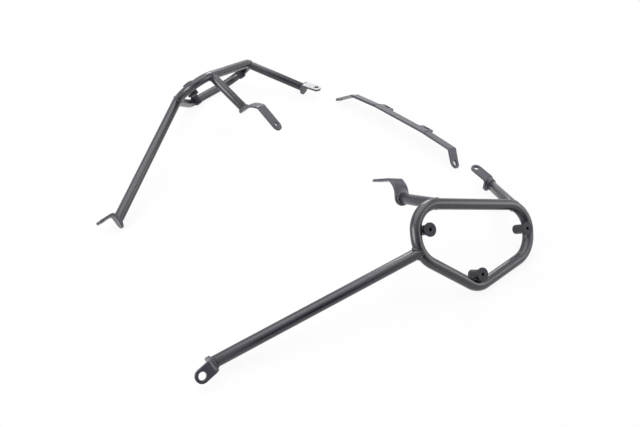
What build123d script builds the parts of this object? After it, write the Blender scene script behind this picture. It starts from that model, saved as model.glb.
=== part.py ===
# Pannier frame: a left and a right carrier welded from steel tube, and the flat brace that
# ties them behind the seat, laid out loose on the ground the way the set comes out of its box.
# X is across the bike (its left is +X), Y points to its rear and Z is up from the ground.

from build123d import *
import math
import os

os.makedirs("parts", exist_ok=True)

# Stock
tube_d = 16.0
tube_wall = 1.5
plate_t = 4.0
bend_radius = 5.0
weld_gap = 0.2

# A carrier is drawn in its own frame: x along the hoop's top run to the rear, y up the hoop,
# z out of the hoop's outer face, and the origin in the middle of the top run

# Hoop, as the corners of its centreline before they are rounded
hoop_half_top = 105.5
hoop_half_low = 100.6
hoop_side_drop = 70.7
hoop_drop = 118.0
top_corner_r = 37.0
low_corner_r = 42.0
bottom_r = 30.0

# How far from the hoop's bends and corners the tubes leave it, and how they run to the cuts at their ends
stay_from_bend = (-2.9356, 1.4109)
stay_length = {"left": 305.3, "right": 268.2}
stay_way = {"left": (-0.8631, -0.4203, -0.2801), "right": (-0.8456, -0.2464, -0.4735)}
mid_from_corner = 42.5
mid_run = (0.0, 16.5, -82.0)
rear_from_corner = (26.5, 3.0)
rear_run = (50.0, 47.0, -100.0)

# Front lug: its tab lies in the plane of the hoop and turns down a little from the stay
front_lug_width = 19.0
front_tab_turn = 10.0
front_tab_offset = 11.0
front_tab_length = 29.5
front_cap_reach = 15.0
front_hole_d = 10.5

# Mid lug: above its cap the strip rolls in toward the bike, then folds into a nearly level tab
mid_lug_width = 24.0
mid_cap_reach = 11.0
mid_roll_from = 16.0
mid_roll_r = 25.0
mid_fold = (14.0, 30.5)
mid_tab_rise = 5.5
mid_tab_length = 54.0

# Rear lug: the tab's face and the way the tab runs
rear_lug_width = 17.0
rear_tab_face = (-0.32, 0.68, 0.66)
rear_tab_way = (-0.14, 0.65, -0.75)
rear_tab_offset = 11.8
rear_tab_length = 40.5
rear_cap_reach = 11.0
rear_lug_shift = 4.5
rear_pad_d = 20.0

rail_hole_d = 8.5

# Bosses for the pannier's quick fasteners, and how far each stands in from the hoop's centreline
boss_d = 14.0
boss_length = 24.0
flange_d = 19.5
flange_t = 2.5
boss_tap_d = 5.0
neck_d = 9.0
boss_drop = 36.0
boss_reach = {"front": 16.0, "rear": 12.5, "lower": 16.5}
bottom_bend_rise = 2.0

# Brace
brace_origin = (5.0, 169.0, 26.3)
brace_turn = -2.9
brace_tilt = 21.7
brace_width = 21.0
brace_half_flat = 58.0
brace_half_length = 121.0
brace_droop = 4.0
brace_tab_fold = 36.0
brace_tab_skew = 24.0
brace_tab_reach = 30.0
brace_slot = (12.0, 8.5)
ear_centre = 49.0
ear_width = 26.0
ear_depth = 12.0
ear_slot = (13.0, 6.5)

# How the two carriers lie on the ground: the place of the hoop's top run, then yaw, pitch and lean
lie_at = {"left": (277.5, -1.4, 89.2), "right": (-273.5, 2.8, 87.9)}
lie_angles = {"left": (23.9, -18.9, 43.4), "right": (21.3, -18.0, 44.6)}

round_end = 0.49
inward = Vector(0, 0, -1)
hoop_corners = [
    Vector(-hoop_half_top, 0),
    Vector(hoop_half_top, 0),
    Vector(hoop_half_low, -hoop_side_drop),
    Vector(0, -hoop_drop),
    Vector(-hoop_half_low, -hoop_side_drop),
]
mid_start = Vector(mid_from_corner - hoop_half_top, 0, 0)
mid_end = mid_start + Vector(*mid_run)
rear_start = Vector(hoop_half_top - rear_from_corner[0], -rear_from_corner[1], 0)
rear_end = rear_start + Vector(*rear_run)


def bend_middle(before, corner, after, radius):
    # the middle of the bend that rounds one corner of the hoop's centreline
    way_in = (before - corner).normalized()
    way_on = (after - corner).normalized()
    inner = (way_in + way_on).normalized()
    half_angle = math.acos(inner.dot(way_in))
    return corner + inner * (radius / math.sin(half_angle) - radius)


def lying_plane(side):
    # the carrier's frame on the ground; the right-hand one is the left-hand one in a mirror
    hand = 1 if side == "left" else -1
    yaw, pitch, lean = (math.radians(angle) for angle in lie_angles[side])
    along = Vector(math.sin(yaw) * math.cos(pitch), math.cos(yaw) * math.cos(pitch), math.sin(pitch))
    level_out = Vector(math.cos(yaw), -math.sin(yaw), 0)
    out = level_out * math.cos(lean) + level_out.cross(along) * math.sin(lean)
    x_dir = Vector(hand * along.X, along.Y, along.Z)
    z_dir = Vector(out.X, hand * out.Y, hand * out.Z)
    return Plane(origin=lie_at[side], x_dir=x_dir, z_dir=z_dir)


def hoop_solid(diameter, bore):
    # the closed centreline with a round section carried along it
    radii = [top_corner_r, top_corner_r, low_corner_r, bottom_r, low_corner_r]
    with BuildPart() as hoop:
        with BuildLine() as centreline:
            FilletPolyline(*hoop_corners, radius=radii, close=True)
        path = centreline.wires()[0]
        with BuildSketch(Plane(origin=path @ 0, z_dir=path % 0)):
            Circle(diameter / 2)
            if bore:
                Circle(bore / 2, mode=Mode.SUBTRACT)
        sweep(path=path)
    return hoop.part


def cut_tube(start, end, cut_way):
    # a straight tube, coped to the hoop with room for the weld and cut flat across cut_way at its end
    axis = end - start
    with BuildPart() as tube:
        with BuildSketch(Plane(origin=start, z_dir=axis)):
            Circle(tube_d / 2)
            Circle(tube_d / 2 - tube_wall, mode=Mode.SUBTRACT)
        extrude(amount=axis.length + tube_d)
        split(bisect_by=Plane(origin=end, z_dir=cut_way), keep=Keep.BOTTOM)
        add(hoop_core, mode=Mode.SUBTRACT)
    return tube.part


def folded_lug(plane, points, radius, width, hole_d):
    # a strip bent along the given middle line, with round ends and a bolt hole round the tab's centre
    with BuildPart() as lug:
        with BuildSketch(plane):
            with BuildLine():
                FilletPolyline(*points, radius=radius)
            trace(line_width=plate_t)
        extrude(amount=width / 2, both=True)
        for tip in (points[0], points[-1]):
            end_face = lug.faces().sort_by_distance(plane.from_local_coords(tip))[0]
            fillet(end_face.edges().sort_by(SortBy.LENGTH)[:2], radius=width * round_end)
        run = (Vector(*points[-1]) - Vector(*points[-2])).normalized()
        centre = Vector(*points[-1]) - run * (width / 2)
        across = plane.from_local_coords((-run.Y, run.X, 0)) - plane.origin
        with BuildSketch(Plane(origin=plane.from_local_coords(centre), z_dir=across)):
            Circle(hole_d / 2)
        extrude(amount=plate_t, both=True, mode=Mode.SUBTRACT)
    return lug.part


def square_lug(end, face, way, offset, cap_reach, length, width, hole_d):
    # an angle bracket: the cap closes the tube's end and the tab leaves it square, along way
    plane = Plane(origin=end, x_dir=way, z_dir=way.cross(face))
    cap_x = plate_t / 2
    points = [(cap_x, -cap_reach), (cap_x, offset), (cap_x + length, offset)]
    return folded_lug(plane, points, bend_radius, width, hole_d)


def front_tab_way(end):
    run = Vector(end.X - stay_start.X, end.Y - stay_start.Y, 0).normalized()
    return run.rotate(Axis.Z, front_tab_turn)


def front_lug(end):
    way = front_tab_way(end)
    return square_lug(
        end, Vector(0, 0, 1), way, front_tab_offset, front_cap_reach, front_tab_length, front_lug_width, front_hole_d
    )


def rear_way():
    # the tab's run, kept square to its face
    face = Vector(*rear_tab_face).normalized()
    way = Vector(*rear_tab_way)
    return face, (way - face * way.dot(face)).normalized()


def rear_lug():
    # the strip is set off a little from the arm's axis, toward the front, so a round pad closes the tube
    face, way = rear_way()
    end = rear_end + face.cross(way) * rear_lug_shift
    strip = square_lug(
        end, face, way, rear_tab_offset, rear_cap_reach, rear_tab_length, rear_lug_width, rail_hole_d
    )
    with BuildPart() as lug:
        add(strip)
        with BuildSketch(Plane(origin=rear_end, x_dir=face, z_dir=way)):
            Circle(rear_pad_d / 2)
            with Locations((rear_tab_offset - bend_radius, 0)):
                Rectangle(rear_pad_d, rear_pad_d, align=(Align.MAX, Align.CENTER), mode=Mode.INTERSECT)
        extrude(amount=plate_t)
    return lug.part


def mid_lug():
    # sketch x runs in toward the bike and sketch y runs up the hoop
    plane = Plane(origin=mid_end, x_dir=inward, z_dir=(1, 0, 0))
    rise = math.radians(mid_tab_rise)
    cap_x = plate_t / 2
    fold = Vector(cap_x + mid_fold[0], mid_fold[1])
    tip = fold + Vector(math.cos(rise), math.sin(rise)) * mid_tab_length
    points = [(cap_x, -mid_cap_reach), (cap_x, mid_roll_from), (fold.X, fold.Y), (tip.X, tip.Y)]
    return folded_lug(plane, points, [mid_roll_r, bend_radius], mid_lug_width, rail_hole_d)


def boss_ends(place):
    # the boss's centre and the point of the hoop's centreline that its neck runs to
    if place == "lower":
        tie = Vector(0, bottom_bend_rise - hoop_drop, 0)
        return tie + Vector(0, boss_reach[place], 0), tie
    hand = -1 if place == "front" else 1
    side_x = hoop_half_top + (hoop_half_low - hoop_half_top) * boss_drop / hoop_side_drop
    tie = Vector(hand * side_x, -boss_drop, 0)
    return tie - Vector(hand * boss_reach[place], 0, 0), tie


def boss(place):
    # a turned and tapped boss with a flange on its outer face, tied by a short neck coped to the hoop
    foot, tie = boss_ends(place)
    half = boss_length / 2
    with BuildPart() as piece:
        with BuildSketch(Plane(origin=foot, z_dir=tie - foot)):
            Circle(neck_d / 2)
        extrude(amount=(tie - foot).length)
        with BuildSketch(Plane(origin=foot)):
            Circle(boss_d / 2)
        extrude(amount=half, both=True)
        with BuildSketch(Plane(origin=foot + Vector(0, 0, half))):
            Circle(flange_d / 2)
        extrude(amount=-flange_t)
        with BuildSketch(Plane(origin=foot)):
            Circle(boss_tap_d / 2)
        extrude(amount=half, both=True, mode=Mode.SUBTRACT)
        add(hoop_core, mode=Mode.SUBTRACT)
    return piece.part


def brace_bar():
    # a flat bar with two slotted ears, drooping a little to each end, and a skewed slotted tab at each
    turn = math.radians(brace_turn)
    tilt = math.radians(brace_tilt)
    droop = math.radians(brace_droop)
    fold = math.radians(brace_tab_fold)
    skew = math.radians(brace_tab_skew)
    length_way = Vector(math.cos(turn), math.sin(turn), 0)
    face_way = Vector(-math.sin(turn) * math.sin(tilt), math.cos(turn) * math.sin(tilt), math.cos(tilt))
    brace = Plane(origin=brace_origin, x_dir=length_way, z_dir=face_way)
    run_length = (brace_half_length - brace_half_flat) / math.cos(droop)
    tab_axis = Vector(math.cos(skew), -math.sin(skew))
    tab_side = Vector(math.sin(skew), math.cos(skew)) * (brace_width / 2 * math.cos(skew))
    tab_centre = Vector(0, brace_width / 2) + tab_axis * brace_tab_reach
    tab_outline = [Vector(0, 0), tab_centre - tab_side, tab_centre + tab_side, Vector(0, brace_width)]
    with BuildPart() as bar:
        with BuildSketch(brace):
            Rectangle(2 * brace_half_flat, brace_width, align=(Align.CENTER, Align.MIN))
            for side in (-1, 1):
                with Locations((side * ear_centre, (brace_width + ear_depth) / 2)):
                    RectangleRounded(ear_width, brace_width + ear_depth, plate_t)
                with Locations((side * ear_centre, brace_width + ear_depth / 2)):
                    SlotOverall(*ear_slot, mode=Mode.SUBTRACT)
        extrude(amount=plate_t / 2, both=True)
        for side in (-1, 1):
            run_way = brace.x_dir * (side * math.cos(droop)) - brace.z_dir * math.sin(droop)
            tab_way = brace.x_dir * (side * math.cos(fold)) - brace.z_dir * math.sin(fold)
            run_start = brace.origin + brace.x_dir * (side * brace_half_flat)
            tab_start = run_start + run_way * run_length
            for knuckle in (run_start, tab_start):
                with BuildSketch(Plane(origin=knuckle, z_dir=brace.y_dir)):
                    Circle(plate_t / 2)
                extrude(amount=brace_width)
            with BuildSketch(Plane(origin=run_start, x_dir=run_way, z_dir=run_way.cross(brace.y_dir))):
                Rectangle(run_length, brace_width, align=(Align.MIN, Align.MIN))
            extrude(amount=plate_t / 2, both=True)
            with BuildSketch(Plane(origin=tab_start, x_dir=tab_way, z_dir=tab_way.cross(brace.y_dir))):
                Polygon(*[(p.X, p.Y) for p in tab_outline], align=None)
                with Locations((tab_centre.X, tab_centre.Y)):
                    Circle(tab_side.length)
                    SlotOverall(*brace_slot, rotation=-brace_tab_skew, mode=Mode.SUBTRACT)
            extrude(amount=plate_t / 2, both=True)
    return bar.part


def lay_down(piece, side, name):
    # a right-hand piece is the left-hand one in a mirror, then each is laid on the ground
    handed = piece if side == "left" else mirror(piece, about=Plane.XY)
    with BuildPart(lying_plane(side)) as laid:
        add(handed)
    kit[f"{side}_{name}"] = laid.part


kit = {}
stay_bend = bend_middle(hoop_corners[3], hoop_corners[4], hoop_corners[0], low_corner_r)
stay_start = stay_bend + Vector(*stay_from_bend)
hoop_core = hoop_solid(tube_d + 2 * weld_gap, 0)
hoop_tube = hoop_solid(tube_d, tube_d - 2 * tube_wall)
mid_arm = cut_tube(mid_start, mid_end, inward)
rear_arm = cut_tube(rear_start, rear_end, rear_way()[1])

for side, way in stay_way.items():
    end = stay_start + Vector(*way).normalized() * stay_length[side]
    lay_down(hoop_tube, side, "hoop_tube")
    lay_down(cut_tube(stay_start, end, front_tab_way(end)), side, "front_stay")
    lay_down(mid_arm, side, "mid_arm")
    lay_down(rear_arm, side, "rear_arm")
    lay_down(front_lug(end), side, "front_lug")
    lay_down(mid_lug(), side, "mid_lug")
    lay_down(rear_lug(), side, "rear_lug")
    for place in boss_reach:
        lay_down(boss(place), side, f"{place}_boss")
kit["rear_brace"] = brace_bar()

# The set's own origin is on the ground, under the middle of everything
box = Compound(children=list(kit.values())).bounding_box()
ground = Plane(origin=(-box.center().X, -box.center().Y, -box.min.Z))

for name, piece in kit.items():
    with BuildPart(ground) as placed:
        add(piece)
    placed.part.label = name
    export_step(placed.part, f"parts/{name}.step")
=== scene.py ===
# Pannier frame set dressed for the shot: satin powder coat, eased edges and weld beads on the CAD parts
import bpy
import bmesh
import math
import random
from mathutils import Matrix, Vector
from mathutils.bvhtree import BVHTree


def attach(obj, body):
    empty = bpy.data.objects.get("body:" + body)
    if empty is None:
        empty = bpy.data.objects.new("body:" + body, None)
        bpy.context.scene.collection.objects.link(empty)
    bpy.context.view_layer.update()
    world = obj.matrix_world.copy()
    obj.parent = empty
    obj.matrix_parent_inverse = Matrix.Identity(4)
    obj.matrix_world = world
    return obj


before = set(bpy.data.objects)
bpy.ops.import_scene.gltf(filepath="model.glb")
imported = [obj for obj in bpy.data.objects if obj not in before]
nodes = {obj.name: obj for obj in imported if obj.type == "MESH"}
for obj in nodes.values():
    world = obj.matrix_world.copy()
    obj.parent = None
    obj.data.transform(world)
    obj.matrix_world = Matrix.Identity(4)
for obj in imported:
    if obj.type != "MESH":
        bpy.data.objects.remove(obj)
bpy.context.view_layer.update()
print("frame in:", len(nodes), "parts")


def clearSelection():
    bpy.ops.object.select_all(action="DESELECT")
    bpy.context.view_layer.objects.active = None


# Sprayed texture: orange peel, fine grain and slow clouding, shared by every coated surface
sprayTexture = dict(
    layers=dict(
        Peel=dict(scale=620.0, detail=2.0),
        Grain=dict(scale=2600.0, detail=1.0),
        Cloud=dict(scale=24.0, detail=4.0),
    ),
    roughness=0.5,
    peelShare=0.75,
)


def buildSprayTexture():
    tree = bpy.data.node_groups.new("sprayTexture", "ShaderNodeTree")
    for name, layer in sprayTexture["layers"].items():
        socket = tree.interface.new_socket(name + " Scale", in_out="INPUT", socket_type="NodeSocketFloat")
        socket.default_value = layer["scale"]
    for name in ("Height", "Grain", "Cloud"):
        tree.interface.new_socket(name, in_out="OUTPUT", socket_type="NodeSocketFloat")
    make = tree.nodes.new
    link = tree.links.new
    groupIn = make("NodeGroupInput")
    groupOut = make("NodeGroupOutput")
    place = make("ShaderNodeTexCoord")
    noises = {}
    for name, layer in sprayTexture["layers"].items():
        noise = make("ShaderNodeTexNoise")
        noise.inputs["Detail"].default_value = layer["detail"]
        noise.inputs["Roughness"].default_value = sprayTexture["roughness"]
        link(place.outputs["Object"], noise.inputs["Vector"])
        link(groupIn.outputs[name + " Scale"], noise.inputs["Scale"])
        noises[name] = noise.outputs["Fac"]
    height = make("ShaderNodeMix")  # peel carries most of the relief, grain the rest
    height.data_type = "FLOAT"
    height.inputs["Factor"].default_value = 1 - sprayTexture["peelShare"]
    link(noises["Peel"], height.inputs["A"])
    link(noises["Grain"], height.inputs["B"])
    link(height.outputs["Result"], groupOut.inputs["Height"])
    link(noises["Grain"], groupOut.inputs["Grain"])
    link(noises["Cloud"], groupOut.inputs["Cloud"])
    return tree


# What all coats share: the noise's useful span, the grain's shift of tone and the depth of the peel
coatMix = dict(shadeSpan=(0.32, 0.68), noiseSpan=(0.3, 0.7), fleckTone=(0.7, 1.3), peelDepth=0.0002)


def spreadNoise(tree, noise, ends):
    # the middle of the noise is spread out between the two ends
    spread = tree.nodes.new("ShaderNodeMapRange")
    limits = (*coatMix["noiseSpan"], *ends)
    for socket, limit in zip(("From Min", "From Max", "To Min", "To Max"), limits):
        spread.inputs[socket].default_value = limit
    tree.links.new(noise, spread.inputs["Value"])
    return spread.outputs["Result"]


def coatMaterial(name, look, texture):
    # one coat: the clouding mixes dark and pale shades and shifts the gloss, the grain adds flecks
    material = bpy.data.materials.new(name)
    material.use_nodes = True
    tree = material.node_tree
    make = tree.nodes.new
    link = tree.links.new
    shader = tree.nodes["Principled BSDF"]
    spray = make("ShaderNodeGroup")
    spray.node_tree = texture
    spray.inputs["Peel Scale"].default_value = look["peelScale"]
    shade = make("ShaderNodeValToRGB")
    shades = (look["darkShade"], look["paleShade"])
    for stop, position, colour in zip(shade.color_ramp.elements, coatMix["shadeSpan"], shades):
        stop.position = position
        stop.color = (*colour, 1)
    link(spray.outputs["Cloud"], shade.inputs["Fac"])
    fleck = make("ShaderNodeMix")  # the grain's tops catch a little more light
    fleck.data_type = "RGBA"
    fleck.blend_type = "MULTIPLY"
    fleck.inputs["Factor"].default_value = look["fleck"]
    link(shade.outputs["Color"], fleck.inputs["A"])
    link(spreadNoise(tree, spray.outputs["Grain"], coatMix["fleckTone"]), fleck.inputs["B"])
    link(fleck.outputs["Result"], shader.inputs["Base Color"])
    link(spreadNoise(tree, spray.outputs["Cloud"], look["roughness"]), shader.inputs["Roughness"])
    relief = make("ShaderNodeBump")
    relief.inputs["Strength"].default_value = look["relief"]
    relief.inputs["Distance"].default_value = coatMix["peelDepth"]
    link(spray.outputs["Height"], relief.inputs["Height"])
    link(relief.outputs["Normal"], shader.inputs["Normal"])
    shader.inputs["IOR"].default_value = look["ior"]
    return material


tubeCoat = dict(darkShade=(0.016, 0.0145, 0.023), paleShade=(0.025, 0.0225, 0.035), roughness=(0.25, 0.31),
                relief=0.05, fleck=0.30, peelScale=620.0, ior=1.62)
# the plates wear the same black powder coat as the tubes; their base is painted about twice as pale, as
# painted sheen on the brace's top face and the lugs
plateCoatPaintedSheen = dict(darkShade=(0.036, 0.032, 0.047), paleShade=(0.050, 0.045, 0.065), roughness=(0.27, 0.33),
                 relief=0.10, fleck=0.35, peelScale=700.0, ior=1.62)
bossCoat = dict(darkShade=(0.017, 0.0155, 0.022), paleShade=(0.024, 0.022, 0.031), roughness=(0.42, 0.50),
                relief=0.12, fleck=0.40, peelScale=760.0, ior=1.38)
weldCoat = dict(darkShade=(0.021, 0.019, 0.029), paleShade=(0.031, 0.028, 0.043), roughness=(0.20, 0.26),
                relief=0.12, fleck=0.30, peelScale=520.0, ior=1.62)
texture = buildSprayTexture()
coats = {
    "tube": coatMaterial("tubeCoat", tubeCoat, texture),
    "plate": coatMaterial("plateCoatPaintedSheen", plateCoatPaintedSheen, texture),
    "boss": coatMaterial("bossCoat", bossCoat, texture),
    "weld": coatMaterial("weldCoat", weldCoat, texture),
}
coatOf = dict(hoop_tube="tube", front_stay="tube", mid_arm="tube", rear_arm="tube",
              front_lug="plate", mid_lug="plate", rear_lug="plate",
              front_boss="boss", rear_boss="boss", lower_boss="boss", rear_brace="plate")


def coatKind(name):
    # a carrier's parts start with their side, the brace doesn't
    return coatOf[name if name in coatOf else name.split("_", 1)[1]]


for name, part in nodes.items():
    part.data.materials.clear()
    part.data.materials.append(coats[coatKind(name)])
print("coats on:", len(coats), "materials")

# Eased edges: each part is merged and its sharp edges rounded as the coat rounds them
edgeEase = dict(mergeWithin=0.00001, angle=38, steps=3,
                tube=0.0003, plate=0.0005, boss=0.0004, rearLug=0.0002)


def easeEdges(part, width):
    merge = part.modifiers.new("merge", "WELD")
    merge.merge_threshold = edgeEase["mergeWithin"]
    ease = part.modifiers.new("ease", "BEVEL")
    ease.limit_method = "ANGLE"
    ease.angle_limit = math.radians(edgeEase["angle"])
    ease.width = width
    ease.segments = edgeEase["steps"]
    ease.use_clamp_overlap = False
    ease.harden_normals = True


for name, part in nodes.items():
    easeEdges(part, edgeEase["rearLug" if name.endswith("rear_lug") else coatKind(name)])
print("edges eased:", len(nodes))

# Carriers as they lie on the ground, placed and turned as in the CAD; the right one is mirrored
millimetre = 0.001
carrierLie = dict(
    left=dict(place=(0.27554, 0.11415, 0.08923), yaw=23.9, pitch=-18.9, lean=43.4, hand=1),
    right=dict(place=(-0.27546, 0.11835, 0.08793), yaw=21.3, pitch=-18.0, lean=44.6, hand=-1),
)


def carrierMatrix(side):
    # from a carrier's own millimetres to the scene
    lie = carrierLie[side]
    hand = lie["hand"]
    yaw, pitch, lean = (math.radians(lie[name]) for name in ("yaw", "pitch", "lean"))
    along = Vector((math.sin(yaw) * math.cos(pitch), math.cos(yaw) * math.cos(pitch), math.sin(pitch)))
    levelOut = Vector((math.cos(yaw), -math.sin(yaw), 0))
    out = levelOut * math.cos(lean) + levelOut.cross(along) * math.sin(lean)
    xWay = Vector((hand * along.x, along.y, along.z))
    zWay = Vector((out.x, hand * out.y, hand * out.z))
    yWay = zWay.cross(xWay)
    turned = Matrix((xWay, yWay, zWay * hand)).transposed()
    return Matrix.Translation(lie["place"]) @ turned.to_4x4() @ Matrix.Scale(millimetre, 4)


def bothSides(value):
    return dict(left=value, right=value)


# Weld beads: a torus round each tube, its rings slid along the tube until they sit on the other part
weldBead = dict(
    rings=216, sides=10, footRadius=0.0019, endRadius=0.0022, neckRadius=0.0014,
    ripplePitch=0.0021, rippleDepth=0.24, rippleCrest=0.7, rippleMiddle=0.5, fewestRipples=12,
    lobeShare=0.05, wander=0.00025, leanest=0.3,
    castFrom=0.045, castPast=0.02, castInset=0.985, smoothTurns=3,
)
weldedRound = dict(tube=0.008, neck=0.0045)  # radii of the tubes and of the bosses' necks

# Joints in a carrier's own millimetres, as in the CAD
hoopJoints = dict(
    front_stay=dict(start=(-98.0, -65.5, 0), length=dict(left=305.3, right=268.2), lug="front_lug",
                    way=dict(left=(-0.8631, -0.4203, -0.2801), right=(-0.8456, -0.2464, -0.4735))),
    mid_arm=dict(start=(-63.0, 0, 0), length=bothSides(83.6), lug="mid_lug",
                 way=bothSides((0, 16.5, -82.0))),
    rear_arm=dict(start=(79.0, -3.0, 0), length=bothSides(121.3), lug="rear_lug",
                  way=bothSides((50.0, 47.0, -100.0))),
)
neckJoints = dict(
    front_boss=dict(start=(-87.0, -36.0, 0), way=(-1, 0, 0)),
    rear_boss=dict(start=(90.5, -36.0, 0), way=(1, 0, 0)),
    lower_boss=dict(start=(0, -99.5, 0), way=(0, -1, 0)),
)


def surfaceOf(name):
    # a merged copy of a CAD part, only to be cast at
    shape = bmesh.new()
    shape.from_mesh(nodes[name].data)
    bmesh.ops.remove_doubles(shape, verts=shape.verts, dist=edgeEase["mergeWithin"])
    tree = BVHTree.FromBMesh(shape)
    shape.free()
    return tree


def smoothRound(values):
    # each value is drawn halfway to the mean of its two neighbours on the ring
    count = len(values)
    return [(values[at - 1] + 2 * values[at] + values[(at + 1) % count]) / 4 for at in range(count)]


def weldRing(name, centre, way, radius, beadRadius, surface, backOff, seed):
    # centre lies on the tube's axis where the bead is due, and way points at the part it is welded to
    dice = random.Random(seed)
    rings = weldBead["rings"]
    clearSelection()
    bpy.ops.mesh.primitive_torus_add(
        major_segments=rings, minor_segments=weldBead["sides"],
        major_radius=radius, minor_radius=beadRadius, location=(0, 0, 0),
    )
    bead = bpy.context.object
    bead.name = name
    bead.data.name = name
    way = way.normalized()
    side = way.orthogonal().normalized()
    over = way.cross(side)

    def outAt(angle):
        return side * math.cos(angle) + over * math.sin(angle)

    ripples = max(weldBead["fewestRipples"], round(2 * math.pi * radius / weldBead["ripplePitch"]))
    lobes = [dice.uniform(-1, 1) for ripple in range(ripples)]
    slides = []
    fills = []
    for ring in range(rings):
        out = outAt(2 * math.pi * ring / rings)
        begin = centre - way * backOff + out * (radius * weldBead["castInset"])
        hit, normal, face, reach = surface.ray_cast(begin, way, backOff + weldBead["castPast"])
        slides.append(reach - backOff if hit else None)
        fills.append(abs(normal.dot(way)) if hit else 0)
    known = [ring for ring in range(rings) if slides[ring] is not None]
    for ring in range(rings):
        if slides[ring] is None:  # a ray that slips past takes its nearest neighbour's place
            nearest = min(known, key=lambda other: min(abs(other - ring), rings - abs(other - ring)))
            slides[ring] = slides[nearest]
    for smoothing in range(weldBead["smoothTurns"]):
        slides = smoothRound(slides)
        fills = smoothRound(fills)
    for vertex in bead.data.vertices:
        angle = math.atan2(vertex.co.y, vertex.co.x) % (2 * math.pi)
        ring = round(angle / (2 * math.pi) * rings) % rings
        wave = angle / (2 * math.pi) * ripples
        hump = math.sin(math.pi * (wave % 1))
        lobe = lobes[int(wave) % ripples]
        rise = weldBead["rippleDepth"] * (hump ** weldBead["rippleCrest"] - weldBead["rippleMiddle"])
        swell = 1 + rise + weldBead["lobeShare"] * lobe
        # thin where the tube runs nearly level with the other part's surface
        swell *= weldBead["leanest"] + (1 - weldBead["leanest"]) * fills[ring]
        outStep = (math.hypot(vertex.co.x, vertex.co.y) - radius) * swell
        wayStep = vertex.co.z * swell + weldBead["wander"] * lobe * hump
        vertex.co = centre + outAt(angle) * (radius + outStep) + way * (slides[ring] + wayStep)
    shape = bmesh.new()
    shape.from_mesh(bead.data)
    bmesh.ops.recalc_face_normals(shape, faces=shape.faces)
    shape.to_mesh(bead.data)
    shape.free()
    bpy.ops.object.shade_smooth()
    bead.data.materials.append(coats["weld"])
    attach(bead, "root")
    return bead


beads = []
for side in carrierLie:
    matrix = carrierMatrix(side)
    turn = matrix.to_3x3()
    hoop = surfaceOf(side + "_hoop_tube")
    for tube, joint in hoopJoints.items():
        start = Vector(joint["start"])
        way = Vector(joint["way"][side]).normalized()
        wayHere = (turn @ way).normalized()
        foot = matrix @ start
        end = matrix @ (start + way * joint["length"][side])
        lug = surfaceOf(f"{side}_{joint['lug']}")
        beads.append(weldRing(f"{side}_{tube}_foot_weld", foot, -wayHere, weldedRound["tube"],
                              weldBead["footRadius"], hoop, weldBead["castFrom"], len(beads)))
        beads.append(weldRing(f"{side}_{tube}_end_weld", end, wayHere, weldedRound["tube"],
                              weldBead["endRadius"], lug, weldBead["castFrom"], len(beads)))
    for boss, joint in neckJoints.items():
        foot = matrix @ Vector(joint["start"])
        wayHere = (turn @ Vector(joint["way"])).normalized()
        beads.append(weldRing(f"{side}_{boss}_weld", foot, wayHere, weldedRound["neck"],
                              weldBead["neckRadius"], hoop, 0.0, len(beads)))
print("weld beads:", len(beads))


def standCard(name, look):
    # an upright card with its lower edge on the floor
    clearSelection()
    bpy.ops.mesh.primitive_plane_add(size=1, location=(*look["place"], look["height"] / 2),
                                     rotation=(math.radians(90), 0, math.radians(look["heading"])))
    card = bpy.context.object
    card.name = name
    card.scale = (look["width"], look["height"], 1)
    return card


def seenOrMirrored(tree):
    # 1 for what the camera sees, straight or in a reflection, and 0 for what lights the parts
    make = tree.nodes.new
    link = tree.links.new
    path = make("ShaderNodeLightPath")
    seen = make("ShaderNodeMath")
    seen.operation = "MAXIMUM"
    mirrored = make("ShaderNodeMath")
    mirrored.operation = "MAXIMUM"
    link(path.outputs["Is Camera Ray"], seen.inputs[0])
    link(path.outputs["Is Glossy Ray"], mirrored.inputs[0])
    link(path.outputs["Is Transmission Ray"], mirrored.inputs[1])
    link(mirrored.outputs["Value"], seen.inputs[1])
    return seen.outputs["Value"]


# Paper sweep: a floor and the wall behind it, white to the eye and in reflections, with a faint shadow
sweepLook = dict(size=9.0, colour=(0.86, 0.86, 0.86), white=0.9, glow=1.0)
wallLook = dict(place=(-1.6, 1.6), width=7.0, height=2.4, heading=45.0)


def buildSweep():
    clearSelection()
    bpy.ops.mesh.primitive_plane_add(size=sweepLook["size"], location=(0, 0, 0))
    floor = bpy.context.object
    floor.name = "studioFloor"
    wall = standCard("studioWall", wallLook)
    material = bpy.data.materials.new("studioPaper")
    material.use_nodes = True
    tree = material.node_tree
    make = tree.nodes.new
    link = tree.links.new
    tree.nodes.clear()
    out = make("ShaderNodeOutputMaterial")
    paper = make("ShaderNodeBsdfDiffuse")
    paper.inputs["Color"].default_value = (*sweepLook["colour"], 1)
    glow = make("ShaderNodeEmission")
    glow.inputs["Strength"].default_value = sweepLook["glow"]
    share = make("ShaderNodeMath")
    share.operation = "MULTIPLY"
    share.inputs[1].default_value = sweepLook["white"]
    mix = make("ShaderNodeMixShader")
    link(seenOrMirrored(tree), share.inputs[0])
    link(share.outputs["Value"], mix.inputs["Fac"])
    link(paper.outputs["BSDF"], mix.inputs[1])
    link(glow.outputs["Emission"], mix.inputs[2])
    link(mix.outputs["Shader"], out.inputs["Surface"])
    floor.data.materials.append(material)
    wall.data.materials.append(material)


# Black flag: a dark card behind the camera and to its right, which gives the near tubes their dark band
flagLook = dict(place=(1.45, -0.6), width=1.05, height=1.5, heading=71.0,
                colour=(0.012, 0.012, 0.012), roughness=0.95, specular=0.1)


def buildFlag():
    flag = standCard("studioFlag", flagLook)
    material = bpy.data.materials.new("studioFelt")
    material.use_nodes = True
    felt = material.node_tree.nodes["Principled BSDF"]
    felt.inputs["Base Color"].default_value = (*flagLook["colour"], 1)
    felt.inputs["Roughness"].default_value = flagLook["roughness"]
    felt.inputs["Specular IOR Level"].default_value = flagLook["specular"]
    flag.data.materials.append(material)


# Room: the camera and reflections see white, and the light that falls on the parts is dim and a little cool
roomLook = dict(colour=(0.9, 0.92, 1.0), strength=0.22, white=(1, 1, 1), whiteStrength=1.0)


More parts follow.
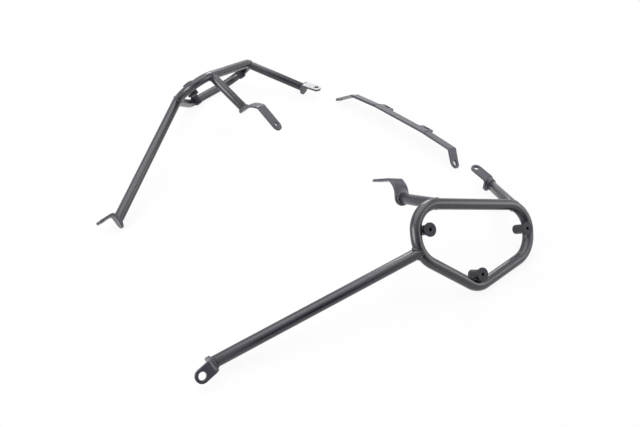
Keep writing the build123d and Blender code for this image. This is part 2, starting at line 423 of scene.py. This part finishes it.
def buildWorld():
    world = bpy.data.worlds.new("studioRoom")
    bpy.context.scene.world = world
    world.use_nodes = True
    tree = world.node_tree
    make = tree.nodes.new
    link = tree.links.new
    room = tree.nodes["Background"]
    room.inputs["Color"].default_value = (*roomLook["colour"], 1)
    room.inputs["Strength"].default_value = roomLook["strength"]
    white = make("ShaderNodeBackground")
    white.inputs["Color"].default_value = (*roomLook["white"], 1)
    white.inputs["Strength"].default_value = roomLook["whiteStrength"]
    mix = make("ShaderNodeMixShader")
    link(seenOrMirrored(tree), mix.inputs["Fac"])
    link(room.outputs["Background"], mix.inputs[1])
    link(white.outputs["Background"], mix.inputs[2])
    link(mix.outputs["Shader"], tree.nodes["World Output"].inputs["Surface"])


# Soft boxes: one to the left, a broad one overhead, a small one behind and a weak one to the right
softBoxes = dict(
    leftBox=dict(place=(-0.35, -1.65, 0.80), size=(1.3, 0.9), power=24, aim=(0, 0, 0.1)),
    topBox=dict(place=(-0.45, 0.2, 1.85), size=(2.6, 2.2), power=34, aim=(-0.2, 0.1, 0)),
    backBox=dict(place=(-1.25, 1.5, 1.06), size=(0.8, 0.7), power=17, aim=(0, 0.3, 0.1)),
    rightBox=dict(place=(1.35, 1.35, 0.75), size=(1.3, 0.8), power=8, aim=(0.1, 0, 0.05)),
)


def buildLights():
    for name, box in softBoxes.items():
        lamp = bpy.data.lights.new(name, "AREA")
        lamp.shape = "RECTANGLE"
        lamp.size, lamp.size_y = box["size"]
        lamp.energy = box["power"]
        lampObject = bpy.data.objects.new(name, lamp)
        lampObject.location = box["place"]
        aim = Vector(box["aim"]) - Vector(box["place"])
        lampObject.rotation_euler = aim.to_track_quat("-Z", "Y").to_euler()
        bpy.context.scene.collection.objects.link(lampObject)


# Camera: fitted to the photograph
cameraShot = dict(place=(0.60501, -0.52216, 0.69120), turn=(47.936, 0.544, 44.595),
                  lens=35.983, sensor=36.0, clipStart=0.01)


def buildCamera():
    lens = bpy.data.cameras.new("shotCamera")
    lens.lens = cameraShot["lens"]
    lens.sensor_fit = "HORIZONTAL"
    lens.sensor_width = cameraShot["sensor"]
    lens.clip_start = cameraShot["clipStart"]
    camera = bpy.data.objects.new("shotCamera", lens)
    camera.location = cameraShot["place"]
    camera.rotation_euler = [math.radians(angle) for angle in cameraShot["turn"]]
    bpy.context.scene.collection.objects.link(camera)
    bpy.context.scene.camera = camera


buildSweep()
buildFlag()
buildWorld()
buildLights()
buildCamera()
bpy.context.scene.view_settings.view_transform = "Standard"
print("studio set")
